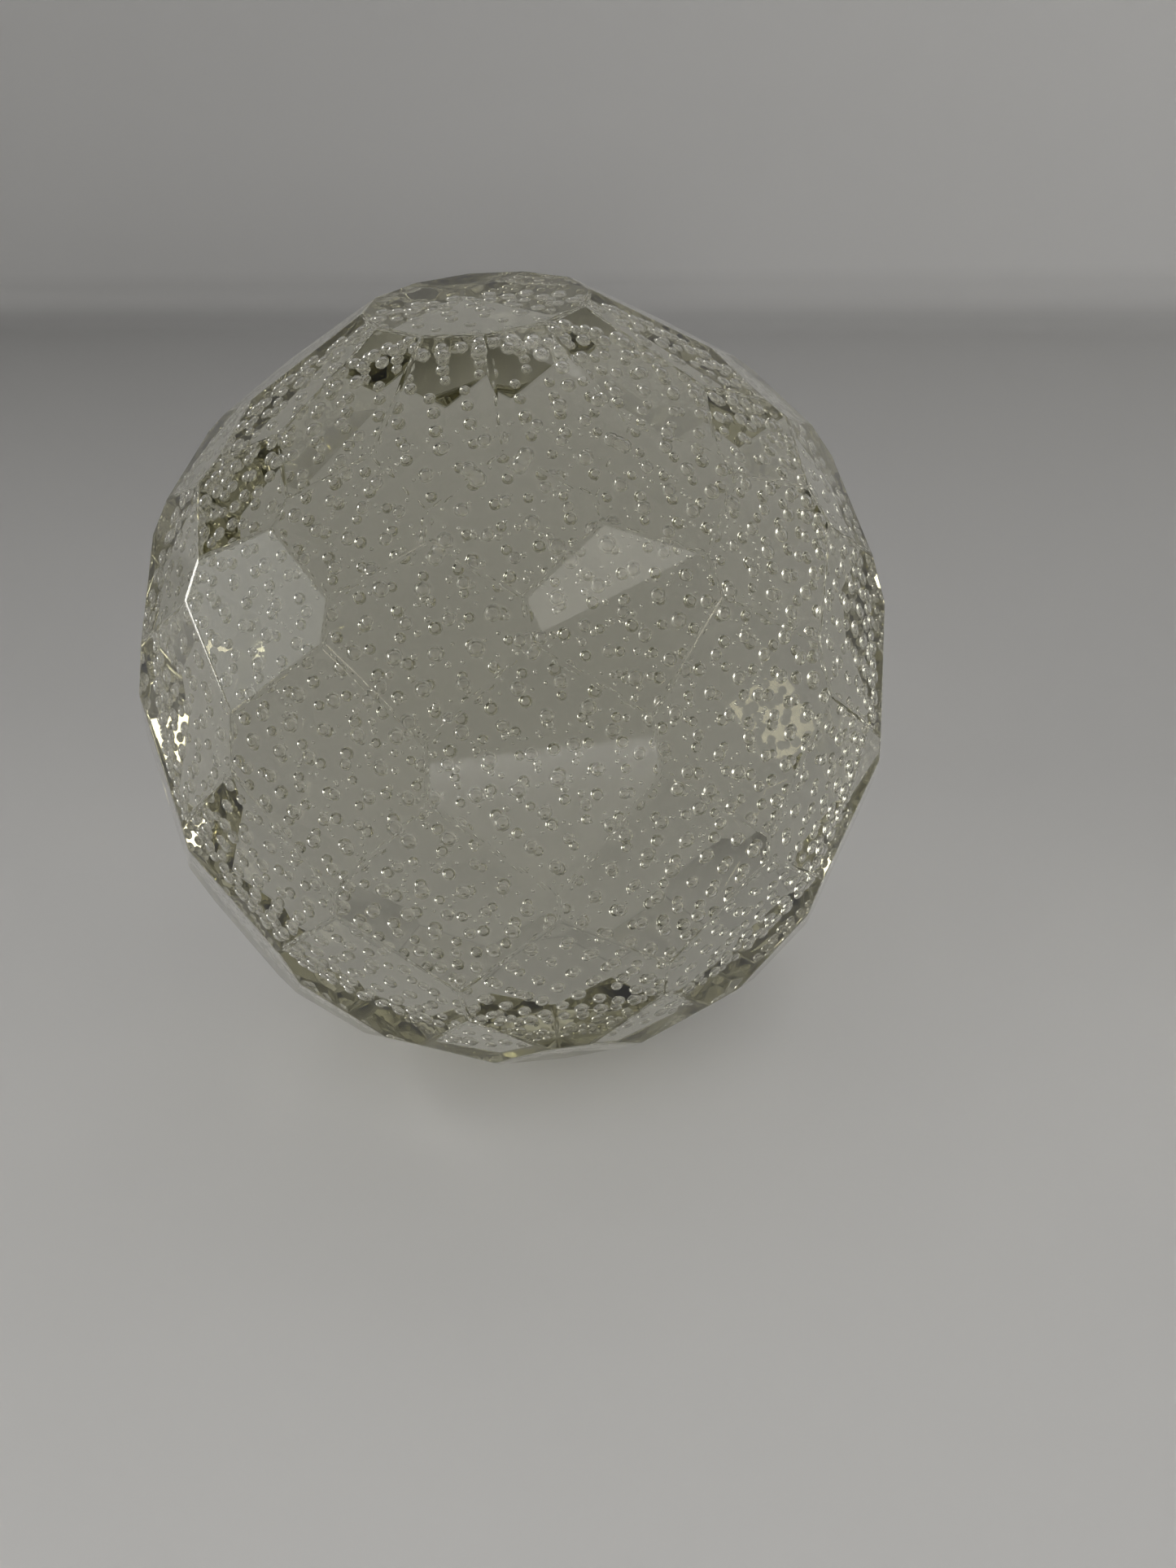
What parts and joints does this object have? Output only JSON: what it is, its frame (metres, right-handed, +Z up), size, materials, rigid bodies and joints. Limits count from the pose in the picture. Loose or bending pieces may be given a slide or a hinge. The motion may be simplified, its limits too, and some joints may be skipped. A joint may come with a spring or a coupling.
{
  "type": "paperweight",
  "caption": "Solid clear glass ball paperweight, ground all over into rows of flat facets, with rows of air bubbles inside and a small flat base.",
  "frame": {"origin": "centre of the flat base, on the surface that the ball stands on", "axes": "+Z up through the centre of the top facet; -Y faces the middle of one facet of the widest row"},
  "size_m": [0.0778, 0.0778, 0.0755],
  "materials": {
    "core_glass": "clear, fused, faint yellow-green",
    "second_glass": "clear, fused, faint yellow-green",
    "third_glass": "clear, fused, faint yellow-green",
    "casing_glass": "clear, ground into facets and polished"
  },
  "bodies": {
    "root": {"core_gather": "core_glass", "second_gather": "second_glass", "third_gather": "third_glass", "faceted_casing": "casing_glass"}
  },
  "joints": []
}
